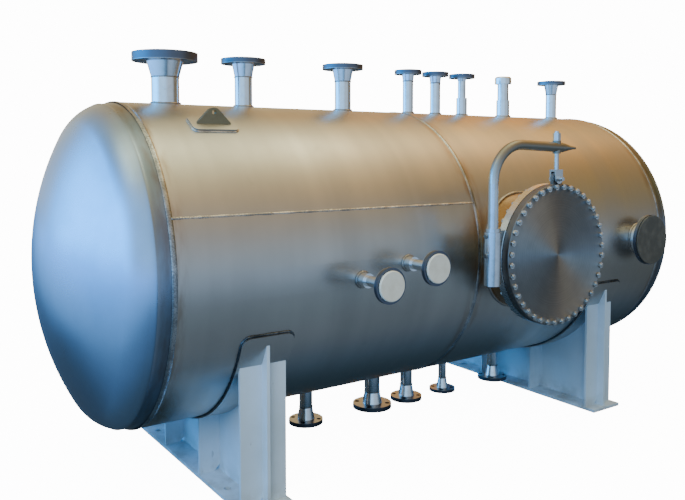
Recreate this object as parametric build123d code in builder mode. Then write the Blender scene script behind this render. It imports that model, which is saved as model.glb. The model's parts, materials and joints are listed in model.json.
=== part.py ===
"""Horizontal pressure tank on two saddles, with a davit-hung manway cover.

Units are millimetres. X runs along the tank, +Z is up, and the manway faces -Y.
The origin is the middle of the left saddle's foot, on the ground.
"""

import os
from math import cos, radians, sin, sqrt

from build123d import *

# Shell and heads
shell_od = 1016.0
shell_wall = 8.0
ground_clearance = 180.0
left_seam_x = -290.0
middle_seam_x = 805.0
right_seam_x = 1851.0
seam_weld_width = 16.0
seam_weld_height = 2.0
head_straight = 50.0
head_crown_radius = 1016.0
head_knuckle_radius = 67.0

# Saddles: the left one is fixed, the right one slides
saddle_spacing = 1542.0
saddle_plate = 10.0
saddle_rib_width = 150.0
saddle_rib_cope = 18.0
saddle_rib_count = 4
saddle_rib_inset = 36.0
foot_overhang = 13.0
foot_width = 160.0
foot_thickness = 12.0
wear_pad_thickness = 8.0
wear_pad_width = 170.0
wear_pad_corner = 28.0
wear_pad_top_angle = 19.5
horn_angle = 23.0
anchor_hole = 24.0
anchor_slot_length = 44.0
anchor_spacing_x = 90.0

# Pipe nozzles, as flange sizes: pipe and bore diameters, hub at the flange's back,
# overall length, flange, raised face and bolt holes
one_inch = dict(pipe=33.4, bore=26.6, hub=49.3, length=55.6, flange=108.0, thick=14.3,
                face=50.8, circle=79.4, holes=4, hole=15.9)
slip_on_inch = dict(pipe=33.4, bore=26.6, hub=38.0, length=30.0, flange=108.0, thick=18.0,
                    face=50.8, circle=79.4, holes=4, hole=15.9)
heavy_inch = dict(pipe=42.2, bore=26.6, hub=49.3, length=45.0, flange=108.0, thick=18.0,
                  face=50.8, circle=79.4, holes=4, hole=15.9)
inch_and_half = dict(pipe=48.3, bore=40.9, hub=65.1, length=61.9, flange=127.0, thick=17.5,
                     face=73.0, circle=98.4, holes=4, hole=15.9)
two_inch = dict(pipe=60.3, bore=52.5, hub=77.8, length=63.5, flange=152.4, thick=19.1,
                face=92.1, circle=120.7, holes=4, hole=19.1)
three_inch = dict(pipe=88.9, bore=77.9, hub=117.3, length=79.4, flange=209.6, thick=28.6,
                  face=127.0, circle=168.3, holes=8, hole=22.2)
plate_flange = dict(pipe=114.3, bore=102.3, hub=120.0, length=22.0, flange=200.0, thick=16.0,
                    face=140.0, circle=165.0, holes=8, hole=18.0)
raised_face = 1.6
weld_gap = 0.1
root_margin = 2.0

bottom_reach = 147.0
front_reach = 142.0
side_reach = 62.0

# Top nozzles: place along the tank, size, and how far the face stands off the shell
top_nozzles = {
    "top_nozzle_1": (-114.0, three_inch, 165.0),
    "top_nozzle_2": (167.0, two_inch, 165.0),
    "top_nozzle_3": (582.0, two_inch, 172.0),
    "top_nozzle_4": (898.0, heavy_inch, 172.0),
    "top_nozzle_5": (1042.0, heavy_inch, 172.0),
    "top_nozzle_6": (1190.0, slip_on_inch, 172.0),
    "top_nozzle_8": (1754.0, inch_and_half, 172.0),
}
bottom_nozzles = {
    "bottom_nozzle_1": (415.0, inch_and_half),
    "bottom_nozzle_2": (722.0, two_inch),
    "bottom_nozzle_3": (895.0, inch_and_half),
    "bottom_nozzle_4": (1091.0, one_inch),
    "bottom_nozzle_5": (1388.0, inch_and_half),
}
front_nozzle_1_x = 310.0
front_nozzle_1_drop = 36.0
front_nozzle_2_x = 488.0
side_nozzle_x = 1697.0

# Top nozzle 7 is a short pipe closed by a threaded cap
nipple_x = 1437.0
nipple_od = 48.3
nipple_bore = 40.9
nipple_height = 168.0
threaded_cap_od = 72.0
threaded_cap_height = 32.0
threaded_cap_roof = 7.0
threaded_cap_round = 9.0

# Couplings welded round the small pipes where they leave the shell
inch_coupling_od = 45.0
nipple_coupling_od = 57.0
top_coupling_height = 72.0
front_coupling_height = 30.0

# Covers on the gauge nozzles and on the side nozzle
cap_od = 91.0
cap_thickness = 7.0
side_cover_od = 196.0
side_cover_thickness = 6.0

# Manway and its cover
manway_x = 1032.0
manway_neck_od = 406.4
manway_neck_wall = 9.5
manway_standoff = 115.0
manway_flange_width = 40.8
manway_flange_thickness = 28.0
stud_circle_margin = 29.8
stud_count = 40
stud_hole = 13.5
gasket_thickness = 3.0
gasket_width = 12.8
cover_gap = 0.3
cover_thickness = 26.0
cover_edge_chamfer = 2.0

# Davit: a bent pipe that turns in a socket and carries the cover from a threaded rod
davit_offset = 58.0
davit_headroom = 125.0
davit_pipe_od = 33.4
davit_pipe_bore = 26.6
davit_running_gap = 0.05
davit_bend_radius = 125.0
davit_arm_drop = 12.0
davit_tip_length = 50.0
davit_tip_height = 9.0
davit_tip_width = 40.0
socket_od = 54.0
socket_below_axis = 78.0
socket_above_axis = 95.0
socket_floor = 10.0
thrust_gap = 0.3
collar_od = 45.0
collar_height = 12.0
bracket_thickness = 12.0
bracket_setback = 2.0
rod_diameter = 16.0
rod_clearance = 0.5
rod_above_arm = 54.0
sleeve_od = 28.0
sleeve_height = 44.0
nut_height = 13.0
nut_radius = 13.5
cover_lug_thickness = 12.0
cover_lug_width = 46.0
cover_lug_rise = 34.0
shackle_pin = 14.0
shackle_gap = 1.5
shackle_cheek = 7.0
shackle_width = 34.0
pin_head_radius = 11.0
pin_head_height = 8.0
pin_thread_end = 7.5

# Lifting lugs: an upright plate on a curved doubler
lug_angle = 58.4
front_lug_x = -70.0
rear_lug_x = 1612.0
lug_base = 108.0
lug_height = 45.0
lug_thickness = 16.0
lug_top_radius = 23.0
lug_hole = 14.0
lug_hole_drop = 14.0
lug_pad_length = 147.0
lug_pad_width = 73.0
lug_pad_thickness = 8.0
lug_pad_corner = 16.0

shell_r = shell_od / 2
shell_inner_r = shell_r - shell_wall
axis_height = ground_clearance + shell_r
pad_outer_r = shell_r + wear_pad_thickness
manway_neck_r = manway_neck_od / 2
manway_flange_r = manway_neck_r + manway_flange_width
manway_face_y = -shell_r - manway_standoff
gasket_front_y = manway_face_y - gasket_thickness
cover_back_y = gasket_front_y - cover_gap
cover_front_y = cover_back_y - cover_thickness
stud_circle_r = manway_neck_r + stud_circle_margin
davit_x = manway_x - manway_flange_r - davit_offset
davit_y = (cover_back_y + cover_front_y) / 2
socket_bottom_z = axis_height - socket_below_axis
socket_top_z = axis_height + socket_above_axis
arm_at_rod_z = axis_height + manway_flange_r + davit_headroom

os.makedirs("parts", exist_ok=True)
nozzle_openings = []


def save(piece, name):
    piece.label = name
    export_step(piece, f"parts/{name}.step")


def on_axis(x, up=0.0):
    """A point on the tank's centre line, or up above it."""
    return Vector(x, 0, axis_height + up)


def radial_section(centre, outward):
    """The plane through a nozzle's axis, with its own Y running outward."""
    return Plane(origin=centre, x_dir=(1, 0, 0), z_dir=Vector(1, 0, 0).cross(outward))


def make_nozzle(name, centre, outward, size, reach):
    """A weld-neck nozzle: pipe, tapered hub, flange with a raised face and bolt holes."""
    face = shell_r + reach
    back = face - size["thick"]
    hub_start = face - size["length"]
    pipe_r = size["pipe"] / 2
    root = sqrt(shell_inner_r**2 - pipe_r**2) - root_margin
    with BuildPart() as nozzle:
        with BuildSketch(radial_section(centre, outward)):
            with BuildLine():
                Polyline(
                    (size["bore"] / 2, root),
                    (pipe_r, root),
                    (pipe_r, hub_start),
                    (size["hub"] / 2, back),
                    (size["flange"] / 2, back),
                    (size["flange"] / 2, face - raised_face),
                    (size["face"] / 2, face - raised_face),
                    (size["face"] / 2, face),
                    (size["bore"] / 2, face),
                    close=True,
                )
            make_face()
        revolve(axis=Axis(centre, outward))
        with BuildSketch(Plane(origin=centre + outward * back, x_dir=(1, 0, 0), z_dir=outward)):
            with PolarLocations(size["circle"] / 2, size["holes"], start_angle=180 / size["holes"]):
                Circle(size["hole"] / 2)
        extrude(amount=size["thick"], mode=Mode.SUBTRACT)
        with BuildSketch(Plane.YZ.offset(centre.X - size["flange"])):
            with Locations((0, axis_height)):
                Circle(shell_inner_r)
        extrude(amount=2 * size["flange"], mode=Mode.SUBTRACT)
    nozzle_openings.append((centre, outward, pipe_r))
    save(nozzle.part, name)


def make_course(name, start_x, end_x):
    """One rolled course of the shell, with a hole for each neck that it carries."""
    with BuildPart() as course:
        with BuildSketch(Plane.YZ.offset(start_x)):
            with Locations((0, axis_height)):
                Circle(shell_r)
                Circle(shell_inner_r, mode=Mode.SUBTRACT)
        extrude(amount=end_x - start_x)
        for centre, outward, neck_r in nozzle_openings:
            if start_x < centre.X < end_x:
                with BuildSketch(Plane(origin=centre, x_dir=(1, 0, 0), z_dir=outward)):
                    Circle(neck_r + weld_gap)
                extrude(amount=shell_od, mode=Mode.SUBTRACT)
    save(course.part, name)


def make_head(name, seam_x, side):
    """A flanged and dished head: straight flange, knuckle and shallow crown."""
    knuckle_r = shell_r - head_knuckle_radius
    crown_centre = head_straight - sqrt(
        (head_crown_radius - head_knuckle_radius) ** 2 - knuckle_r**2
    )
    lean = Vector(head_straight - crown_centre, knuckle_r).normalized()

    def wall_line(inset):
        crown = head_crown_radius - inset
        knuckle = head_knuckle_radius - inset
        middle = (Vector(1, 0) + lean).normalized()
        shoulder = (Vector(0, 1) + lean).normalized()
        knuckle_centre = Vector(head_straight, knuckle_r)
        return (
            (0, shell_r - inset),
            (head_straight, shell_r - inset),
            knuckle_centre + shoulder * knuckle,
            knuckle_centre + lean * knuckle,
            Vector(crown_centre, 0) + middle * crown,
            (crown_centre + crown, 0),
        )

    section = Plane(origin=on_axis(seam_x), x_dir=(side, 0, 0), z_dir=(0, -side, 0))
    with BuildPart() as head:
        with BuildSketch(section):
            with BuildLine():
                for inset in (0, shell_wall):
                    seam, bend, shoulder, tangent, middle, pole = wall_line(inset)
                    Line(seam, bend)
                    ThreePointArc(bend, shoulder, tangent)
                    ThreePointArc(tangent, middle, pole)
                Line((0, shell_inner_r), (0, shell_r))
                Line(
                    (crown_centre + head_crown_radius - shell_wall, 0),
                    (crown_centre + head_crown_radius, 0),
                )
            make_face()
        revolve(axis=Axis(on_axis(seam_x), (1, 0, 0)))
    save(head.part, name)


def make_saddle(side_name, x, slot_length):
    """A saddle: wear pad, web with horns, ribs on both faces of the web, and foot."""
    web_half = pad_outer_r * cos(radians(horn_angle))
    web_top = axis_height - pad_outer_r * sin(radians(horn_angle))

    with BuildPart() as wear_pad:
        with BuildSketch(Plane.XZ):
            with Locations((x, axis_height - shell_r - wear_pad_thickness / 2)):
                Rectangle(wear_pad_width, wear_pad_thickness)
        revolve(axis=Axis(on_axis(x), (1, 0, 0)), revolution_arc=90 - wear_pad_top_angle)
        mirror(about=Plane.XZ)
        across = wear_pad.edges().filter_by(
            lambda edge: abs(edge.length - wear_pad_thickness) < wear_pad_thickness / 100
        )
        fillet(across.group_by(Axis.Z)[-1], wear_pad_corner)
    save(wear_pad.part, f"{side_name}_saddle_wear_pad")

    with BuildPart() as web:
        with BuildSketch(Plane.YZ.offset(x - saddle_plate / 2)):
            with Locations((0, foot_thickness)):
                Rectangle(2 * web_half, web_top - foot_thickness, align=(Align.CENTER, Align.MIN))
            with Locations((0, axis_height)):
                Circle(pad_outer_r, mode=Mode.SUBTRACT)
        extrude(amount=saddle_plate)
    save(web.part, f"{side_name}_saddle_web")

    half_rib = (saddle_rib_width - saddle_plate) / 2
    outer_rib_y = web_half - saddle_rib_inset
    rib_bay = 2 * outer_rib_y / (saddle_rib_count - 1)
    with BuildPart() as ribs:
        for rib in range(saddle_rib_count):
            rib_y = rib * rib_bay - outer_rib_y
            for side in (-1, 1):
                web_face = x + side * saddle_plate / 2
                with BuildSketch(Plane.XZ.offset(-rib_y - saddle_plate / 2)):
                    with BuildLine():
                        Polyline(
                            (web_face, foot_thickness + saddle_rib_cope),
                            (web_face + side * saddle_rib_cope, foot_thickness),
                            (web_face + side * half_rib, foot_thickness),
                            (web_face + side * half_rib, axis_height),
                            (web_face, axis_height),
                            close=True,
                        )
                    make_face()
                extrude(amount=saddle_plate)
        with BuildSketch(Plane.YZ.offset(x - saddle_rib_width)):
            with Locations((0, axis_height)):
                Circle(pad_outer_r)
        extrude(amount=2 * saddle_rib_width, mode=Mode.SUBTRACT)
    save(ribs.part, f"{side_name}_saddle_ribs")

    with BuildPart() as foot:
        with BuildSketch():
            with Locations((x, 0)):
                Rectangle(foot_width, 2 * (web_half + foot_overhang))
                with GridLocations(anchor_spacing_x, 2 * outer_rib_y - rib_bay, 2, 2):
                    if slot_length > anchor_hole:
                        SlotOverall(slot_length, anchor_hole, mode=Mode.SUBTRACT)
                    else:
                        Circle(anchor_hole / 2, mode=Mode.SUBTRACT)
        extrude(amount=foot_thickness)
    save(foot.part, f"{side_name}_saddle_foot")


def make_lug(side_name, x, side):
    """An upright lifting lug on its curved doubler, high on one side of the shell."""
    outward = Vector(0, side * cos(radians(lug_angle)), sin(radians(lug_angle)))
    doubler_r = shell_r + lug_pad_thickness
    half_wrap = lug_pad_width / 2 / shell_r
    lug_foot = on_axis(x) + outward * doubler_r

    with BuildPart() as doubler:
        with BuildSketch(Plane.YZ.offset(x - lug_pad_length / 2)):
            with Locations((0, axis_height)):
                Circle(doubler_r)
                Circle(shell_r, mode=Mode.SUBTRACT)
        extrude(amount=lug_pad_length)
        with BuildSketch(Plane(origin=on_axis(x), x_dir=(1, 0, 0), z_dir=outward)):
            RectangleRounded(lug_pad_length, 2 * doubler_r * sin(half_wrap), lug_pad_corner)
        extrude(amount=2 * shell_od, mode=Mode.INTERSECT)
    save(doubler.part, f"{side_name}_lifting_lug_doubler")

    with BuildPart() as lug:
        with BuildSketch(Plane(origin=lug_foot, x_dir=(1, 0, 0), z_dir=(0, -1, 0))):
            with Locations((0, lug_height - lug_top_radius)):
                Circle(lug_top_radius)
            with Locations((0, -lug_thickness)):
                Rectangle(lug_base, lug_thickness, align=(Align.CENTER, Align.MIN))
            make_hull()
            with Locations((0, lug_height - lug_hole_drop)):
                Circle(lug_hole / 2, mode=Mode.SUBTRACT)
        extrude(amount=lug_thickness / 2, both=True)
        with BuildSketch(Plane.YZ.offset(x - lug_base)):
            with Locations((0, axis_height)):
                Circle(doubler_r)
        extrude(amount=2 * lug_base, mode=Mode.SUBTRACT)
    save(lug.part, f"{side_name}_lifting_lug")


up = Vector(0, 0, 1)
down = Vector(0, 0, -1)
front = Vector(0, -1, 0)

for nozzle_name, (nozzle_x, nozzle_size, nozzle_reach) in top_nozzles.items():
    make_nozzle(nozzle_name, on_axis(nozzle_x), up, nozzle_size, nozzle_reach)
for nozzle_name, (nozzle_x, nozzle_size) in bottom_nozzles.items():
    make_nozzle(nozzle_name, on_axis(nozzle_x), down, nozzle_size, bottom_reach)
gauge_nozzles = {
    "front_nozzle_1": on_axis(front_nozzle_1_x, -front_nozzle_1_drop),
    "front_nozzle_2": on_axis(front_nozzle_2_x),
}
for nozzle_name, nozzle_centre in gauge_nozzles.items():
    make_nozzle(nozzle_name, nozzle_centre, front, one_inch, front_reach)
make_nozzle("side_nozzle", on_axis(side_nozzle_x), front, plate_flange, side_reach)

# The short pipe of top nozzle 7 and the threaded cap over its end
nipple_centre = on_axis(nipple_x)
nipple_r = nipple_od / 2
with BuildPart() as nipple:
    with BuildSketch(Plane(origin=nipple_centre)):
        Circle(nipple_r)
        Circle(nipple_bore / 2, mode=Mode.SUBTRACT)
    extrude(amount=shell_r + nipple_height)
    with BuildSketch(Plane.YZ.offset(nipple_x - nipple_od)):
        with Locations((0, axis_height)):
            Circle(shell_inner_r)
    extrude(amount=2 * nipple_od, mode=Mode.SUBTRACT)
save(nipple.part, "top_nozzle_7")

cap_top = axis_height + shell_r + nipple_height + threaded_cap_roof
with BuildPart() as threaded_cap:
    with BuildSketch(Plane.XY.offset(cap_top - threaded_cap_height)):
        with Locations((nipple_x, 0)):
            Circle(threaded_cap_od / 2)
    extrude(amount=threaded_cap_height)
    fillet(threaded_cap.edges().group_by(Axis.Z)[-1], threaded_cap_round)
    with BuildSketch(Plane.XY.offset(cap_top - threaded_cap_height)):
        with Locations((nipple_x, 0)):
            Circle(nipple_r + weld_gap)
    extrude(amount=threaded_cap_height - threaded_cap_roof, mode=Mode.SUBTRACT)
save(threaded_cap.part, "top_nozzle_7_cap")

# Couplings: sleeves set into the shell, each round the pipe that it holds
couplings = [(on_axis(top_nozzles["top_nozzle_6"][0]), up, slip_on_inch["pipe"] / 2,
              inch_coupling_od / 2, top_coupling_height),
             (nipple_centre, up, nipple_r, nipple_coupling_od / 2, top_coupling_height)]
for nozzle_centre in gauge_nozzles.values():
    couplings.append((nozzle_centre, front, one_inch["pipe"] / 2, inch_coupling_od / 2,
                      front_coupling_height))

with BuildPart() as nozzle_couplings:
    for coupling_centre, outward, inner_r, outer_r, height in couplings:
        with BuildSketch(Plane(origin=coupling_centre, x_dir=(1, 0, 0), z_dir=outward)):
            Circle(outer_r)
            Circle(inner_r + weld_gap, mode=Mode.SUBTRACT)
        extrude(amount=shell_r + height)
        nozzle_openings.append((coupling_centre, outward, outer_r))
    with BuildSketch(Plane.YZ.offset(left_seam_x)):
        with Locations((0, axis_height)):
            Circle(shell_inner_r)
    extrude(amount=right_seam_x - left_seam_x, mode=Mode.SUBTRACT)
save(nozzle_couplings.part, "nozzle_couplings")

# A moulded cap on each gauge nozzle, and a flat cover on the side nozzle
for nozzle_name, nozzle_centre in gauge_nozzles.items():
    with BuildPart() as cap:
        with BuildSketch(Plane(origin=nozzle_centre + front * (shell_r + front_reach),
                               x_dir=(1, 0, 0), z_dir=front)):
            Circle(cap_od / 2)
        extrude(amount=cap_thickness)
        chamfer(cap.edges().sort_by(Axis.Y)[0], cap_thickness / 3)
    save(cap.part, f"{nozzle_name}_cap")

with BuildPart() as side_cover:
    with BuildSketch(Plane(origin=on_axis(side_nozzle_x) + front * (shell_r + side_reach),
                           x_dir=(1, 0, 0), z_dir=front)):
        Circle(side_cover_od / 2)
    extrude(amount=side_cover_thickness)
    chamfer(side_cover.edges().sort_by(Axis.Y)[0], side_cover_thickness / 5)
save(side_cover.part, "side_nozzle_cover")

# Manway neck, flange ring and gasket
manway_centre = on_axis(manway_x)
nozzle_openings.append((manway_centre, front, manway_neck_r))
flange_back_y = manway_face_y + manway_flange_thickness

with BuildPart() as manway_neck:
    with BuildSketch(Plane(origin=manway_centre, x_dir=(1, 0, 0), z_dir=front)):
        Circle(manway_neck_r)
        Circle(manway_neck_r - manway_neck_wall, mode=Mode.SUBTRACT)
    extrude(amount=-flange_back_y)
    with BuildSketch(Plane.YZ.offset(manway_x - manway_neck_od)):
        with Locations((0, axis_height)):
            Circle(shell_inner_r)
    extrude(amount=2 * manway_neck_od, mode=Mode.SUBTRACT)
save(manway_neck.part, "manway_neck")

with BuildPart() as manway_flange:
    with BuildSketch(Plane(origin=(manway_x, flange_back_y, axis_height), x_dir=(1, 0, 0),
                           z_dir=front)):
        Circle(manway_flange_r)
        Circle(manway_neck_r - manway_neck_wall, mode=Mode.SUBTRACT)
        with PolarLocations(stud_circle_r, stud_count, start_angle=180 / stud_count):
            Circle(stud_hole / 2, mode=Mode.SUBTRACT)
    extrude(amount=manway_flange_thickness)
save(manway_flange.part, "manway_flange")

with BuildPart() as gasket:
    with BuildSketch(Plane(origin=(manway_x, manway_face_y, axis_height), x_dir=(1, 0, 0),
                           z_dir=front)):
        Circle(manway_neck_r + gasket_width)
        Circle(manway_neck_r - manway_neck_wall, mode=Mode.SUBTRACT)
    extrude(amount=gasket_thickness)
save(gasket.part, "manway_gasket")

make_course("left_shell_course", left_seam_x, middle_seam_x)
make_course("right_shell_course", middle_seam_x, right_seam_x)
make_head("left_head", left_seam_x, -1)
make_head("right_head", right_seam_x, 1)

# The weld bead that stands proud of the shell on each round seam
with BuildPart() as seam_welds:
    for seam_x in (left_seam_x, middle_seam_x, right_seam_x):
        with BuildSketch(Plane(origin=on_axis(seam_x), x_dir=(1, 0, 0), z_dir=front)):
            with BuildLine():
                ThreePointArc(
                    (-seam_weld_width / 2, shell_r + weld_gap),
                    (0, shell_r + seam_weld_height),
                    (seam_weld_width / 2, shell_r + weld_gap),
                )
                Line(
                    (seam_weld_width / 2, shell_r + weld_gap),
                    (-seam_weld_width / 2, shell_r + weld_gap),
                )
            make_face()
        revolve(axis=Axis(on_axis(seam_x), (1, 0, 0)))
save(seam_welds.part, "shell_seam_welds")

make_saddle("left", 0, anchor_hole)
make_saddle("right", saddle_spacing, anchor_slot_length)
make_lug("front", front_lug_x, -1)
make_lug("rear", rear_lug_x, 1)

# Manway cover: a bolted disc with a lug on its rim for the hanger
lug_pin_z = axis_height + manway_flange_r + cover_lug_rise / 2
with BuildPart() as manway_cover:
    with BuildSketch(Plane(origin=(manway_x, cover_back_y, axis_height), x_dir=(1, 0, 0),
                           z_dir=front)):
        Circle(manway_flange_r)
    extrude(amount=cover_thickness)
    chamfer(manway_cover.edges().sort_by(Axis.Y)[0], cover_edge_chamfer)
    with BuildSketch(Plane(origin=(manway_x, cover_back_y, axis_height), x_dir=(1, 0, 0),
                           z_dir=front)):
        with PolarLocations(stud_circle_r, stud_count, start_angle=180 / stud_count):
            Circle(stud_hole / 2)
    extrude(amount=cover_thickness, mode=Mode.SUBTRACT)
    with BuildSketch(Plane.XZ.offset(-davit_y - cover_lug_thickness / 2)):
        with Locations((manway_x, lug_pin_z)):
            Circle(cover_lug_width / 2)
            Rectangle(cover_lug_width, cover_lug_rise, align=(Align.CENTER, Align.MAX))
    extrude(amount=cover_lug_thickness)
    with BuildSketch(Plane.XZ.offset(-davit_y - cover_lug_thickness / 2)):
        with Locations((manway_x, lug_pin_z)):
            Circle(shackle_pin / 2 + rod_clearance)
    extrude(amount=cover_lug_thickness, mode=Mode.SUBTRACT)
save(manway_cover.part, "manway_cover")

# Davit socket: a blind tube held to the manway flange's rim by an upright plate
with BuildPart() as davit_socket:
    with BuildSketch(Plane.XY.offset(socket_bottom_z)):
        with Locations((davit_x, davit_y)):
            Circle(socket_od / 2)
    extrude(amount=socket_top_z - socket_bottom_z)
    with BuildSketch(Plane.XZ.offset(-manway_face_y - bracket_setback)):
        with Locations((davit_x, socket_bottom_z)):
            Rectangle(manway_x - davit_x, socket_top_z - socket_bottom_z,
                      align=(Align.MIN, Align.MIN))
        with Locations((manway_x, axis_height)):
            Circle(manway_flange_r, mode=Mode.SUBTRACT)
    extrude(amount=-bracket_thickness)
    with BuildSketch(Plane.XY.offset(socket_bottom_z + socket_floor)):
        with Locations((davit_x, davit_y)):
            Circle(davit_pipe_od / 2 + davit_running_gap)
    extrude(amount=socket_top_z - socket_bottom_z, mode=Mode.SUBTRACT)
save(davit_socket.part, "davit_socket")

# Davit arm: bent pipe whose arm drops a little towards the rod, its end flattened past it
pipe_foot_z = socket_bottom_z + socket_floor + thrust_gap
arm_corner = Vector(davit_x, davit_y, arm_at_rod_z + davit_arm_drop)
arm_at_rod = Vector(manway_x, davit_y, arm_at_rod_z)
along_arm = (arm_at_rod - arm_corner).normalized()
tip_start = arm_at_rod + along_arm * sleeve_od
with BuildPart() as davit_arm:
    with BuildLine(Plane.XZ.offset(-davit_y)):
        FilletPolyline((davit_x, pipe_foot_z), (davit_x, arm_corner.Z), (tip_start.X, tip_start.Z),
                       radius=davit_bend_radius)
    with BuildSketch(Plane.XY.offset(pipe_foot_z)):
        with Locations((davit_x, davit_y)):
            Circle(davit_pipe_od / 2)
            Circle(davit_pipe_bore / 2, mode=Mode.SUBTRACT)
    sweep()
    with BuildSketch(Plane(origin=tip_start, x_dir=(0, 1, 0), z_dir=along_arm)):
        Circle(davit_pipe_od / 2)
    with BuildSketch(Plane(origin=tip_start + along_arm * davit_tip_length, x_dir=(0, 1, 0),
                           z_dir=along_arm)):
        SlotOverall(davit_tip_width, davit_tip_height)
    loft()
    with BuildSketch(Plane.XY.offset(socket_top_z + thrust_gap)):
        with Locations((davit_x, davit_y)):
            Circle(collar_od / 2)
            Circle(davit_pipe_od / 2, mode=Mode.SUBTRACT)
    extrude(amount=collar_height)
    with BuildSketch(Plane.XY.offset(arm_at_rod_z - sleeve_height / 2)):
        with Locations((manway_x, davit_y)):
            Circle(sleeve_od / 2)
    extrude(amount=sleeve_height)
    with BuildSketch(Plane.XY.offset(arm_at_rod_z - sleeve_height)):
        with Locations((manway_x, davit_y)):
            Circle(rod_diameter / 2 + rod_clearance)
    extrude(amount=2 * sleeve_height, mode=Mode.SUBTRACT)
save(davit_arm.part, "davit_arm")

# Hanger: threaded rod with two nuts above the arm and a shackle on the cover's lug
shackle_half = cover_lug_thickness / 2 + shackle_gap
shackle_top_z = lug_pin_z + cover_lug_width / 2 + shackle_gap
with BuildPart() as davit_hanger:
    with BuildSketch(Plane.XY.offset(shackle_top_z)):
        with Locations((manway_x, davit_y)):
            Circle(rod_diameter / 2)
    extrude(amount=arm_at_rod_z + rod_above_arm - shackle_top_z)
    with BuildSketch(Plane.XY.offset(arm_at_rod_z + sleeve_height / 2)):
        with Locations((manway_x, davit_y)):
            RegularPolygon(nut_radius, 6)
    extrude(amount=2 * nut_height)
    with BuildSketch(Plane.XZ.offset(-davit_y - shackle_half - shackle_cheek)):
        with Locations((manway_x, lug_pin_z)):
            Circle(shackle_width / 2)
            Rectangle(shackle_width, shackle_top_z + shackle_cheek - lug_pin_z,
                      align=(Align.CENTER, Align.MIN))
    extrude(amount=2 * (shackle_half + shackle_cheek))
    with BuildSketch(Plane.YZ.offset(manway_x - shackle_width)):
        with Locations((davit_y, shackle_top_z)):
            Rectangle(2 * shackle_half, shackle_top_z, align=(Align.CENTER, Align.MAX))
    extrude(amount=2 * shackle_width, mode=Mode.SUBTRACT)
    cheek_face = shackle_half + shackle_cheek
    with BuildSketch(Plane.XZ.offset(-davit_y - cheek_face)):
        with Locations((manway_x, lug_pin_z)):
            Circle(shackle_pin / 2)
    extrude(amount=2 * cheek_face + pin_head_height + pin_thread_end)
    for head_y in (-davit_y - cheek_face - pin_head_height, -davit_y + cheek_face):
        with BuildSketch(Plane.XZ.offset(head_y)):
            with Locations((manway_x, lug_pin_z)):
                RegularPolygon(pin_head_radius, 6)
        extrude(amount=pin_head_height)
save(davit_hanger.part, "davit_hanger")
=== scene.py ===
"""Dresses the horizontal pressure tank: weld beads, bolting, davit hardware and finishes.

Units are metres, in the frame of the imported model: X along the tank, +Z up, the manway on -Y.
"""

import json
from math import acos, asin, atan2, ceil, cos, pi, radians, sin, sqrt

import bpy
from mathutils import Matrix, Vector


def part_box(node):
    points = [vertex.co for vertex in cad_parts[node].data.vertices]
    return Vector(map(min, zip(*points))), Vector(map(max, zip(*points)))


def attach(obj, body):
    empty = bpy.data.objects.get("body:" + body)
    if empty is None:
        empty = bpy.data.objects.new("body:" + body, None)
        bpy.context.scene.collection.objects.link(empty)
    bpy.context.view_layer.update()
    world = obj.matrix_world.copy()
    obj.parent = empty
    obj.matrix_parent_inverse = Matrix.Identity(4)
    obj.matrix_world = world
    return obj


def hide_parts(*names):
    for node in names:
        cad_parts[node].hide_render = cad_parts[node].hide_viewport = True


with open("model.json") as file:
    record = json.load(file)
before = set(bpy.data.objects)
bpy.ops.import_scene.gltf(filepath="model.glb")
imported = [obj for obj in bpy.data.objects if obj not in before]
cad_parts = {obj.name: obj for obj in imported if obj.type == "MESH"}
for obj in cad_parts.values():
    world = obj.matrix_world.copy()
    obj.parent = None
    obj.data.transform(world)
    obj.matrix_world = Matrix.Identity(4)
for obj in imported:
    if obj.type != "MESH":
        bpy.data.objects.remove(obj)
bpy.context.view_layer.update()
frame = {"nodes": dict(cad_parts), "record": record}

bl_info = {
    "name": "Pressure Tank Dressing",
    "version": (1, 0, 0),
    "blender": (4, 5, 0),
    "location": "View3D > Sidebar > Tank",
    "description": "Weld beads, manway bolting, davit hardware and finishes for a pressure tank",
    "category": "Object",
}

VESSEL = "vessel"
DAVIT = "davit"

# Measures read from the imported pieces
course_low, course_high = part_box("left_shell_course")
cover_low, cover_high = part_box("manway_cover")
flange_low, flange_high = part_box("manway_flange")
neck_low, neck_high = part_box("manway_neck")
socket_low, socket_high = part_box("davit_socket")
AXIS_Z = (course_low.z + course_high.z) / 2
SHELL_R = (course_high.z - course_low.z) / 2
LEFT_SEAM = course_low.x
MIDDLE_SEAM = course_high.x
RIGHT_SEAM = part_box("right_shell_course")[1].x
MANWAY_X = (flange_low.x + flange_high.x) / 2
NECK_R = (neck_high.x - neck_low.x) / 2
DAVIT_Y = (cover_low.y + cover_high.y) / 2

# Each nozzle's diameter at the shell, its flange's thickness or 0 for none, and its flange and hub
# together, or 0 where no weld joins the hub to its pipe
NOZZLES = {
    "top_nozzle_1": (0.0889, 0.0286, 0.0794), "top_nozzle_2": (0.0603, 0.0191, 0.0635),
    "top_nozzle_3": (0.0603, 0.0191, 0.0635), "top_nozzle_4": (0.0422, 0.018, 0.045),
    "top_nozzle_5": (0.0422, 0.018, 0.045), "top_nozzle_6": (0.045, 0.018, 0),
    "top_nozzle_7": (0.057, 0, 0), "top_nozzle_8": (0.0483, 0.0175, 0.0619),
    "bottom_nozzle_1": (0.0483, 0.0175, 0.0619), "bottom_nozzle_2": (0.0603, 0.0191, 0.0635),
    "bottom_nozzle_3": (0.0483, 0.0175, 0.0619), "bottom_nozzle_4": (0.0334, 0.0143, 0.0556),
    "bottom_nozzle_5": (0.0483, 0.0175, 0.0619), "front_nozzle_1": (0.045, 0.0143, 0),
    "front_nozzle_2": (0.045, 0.0143, 0), "side_nozzle": (0.1143, 0.016, 0),
}
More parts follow.
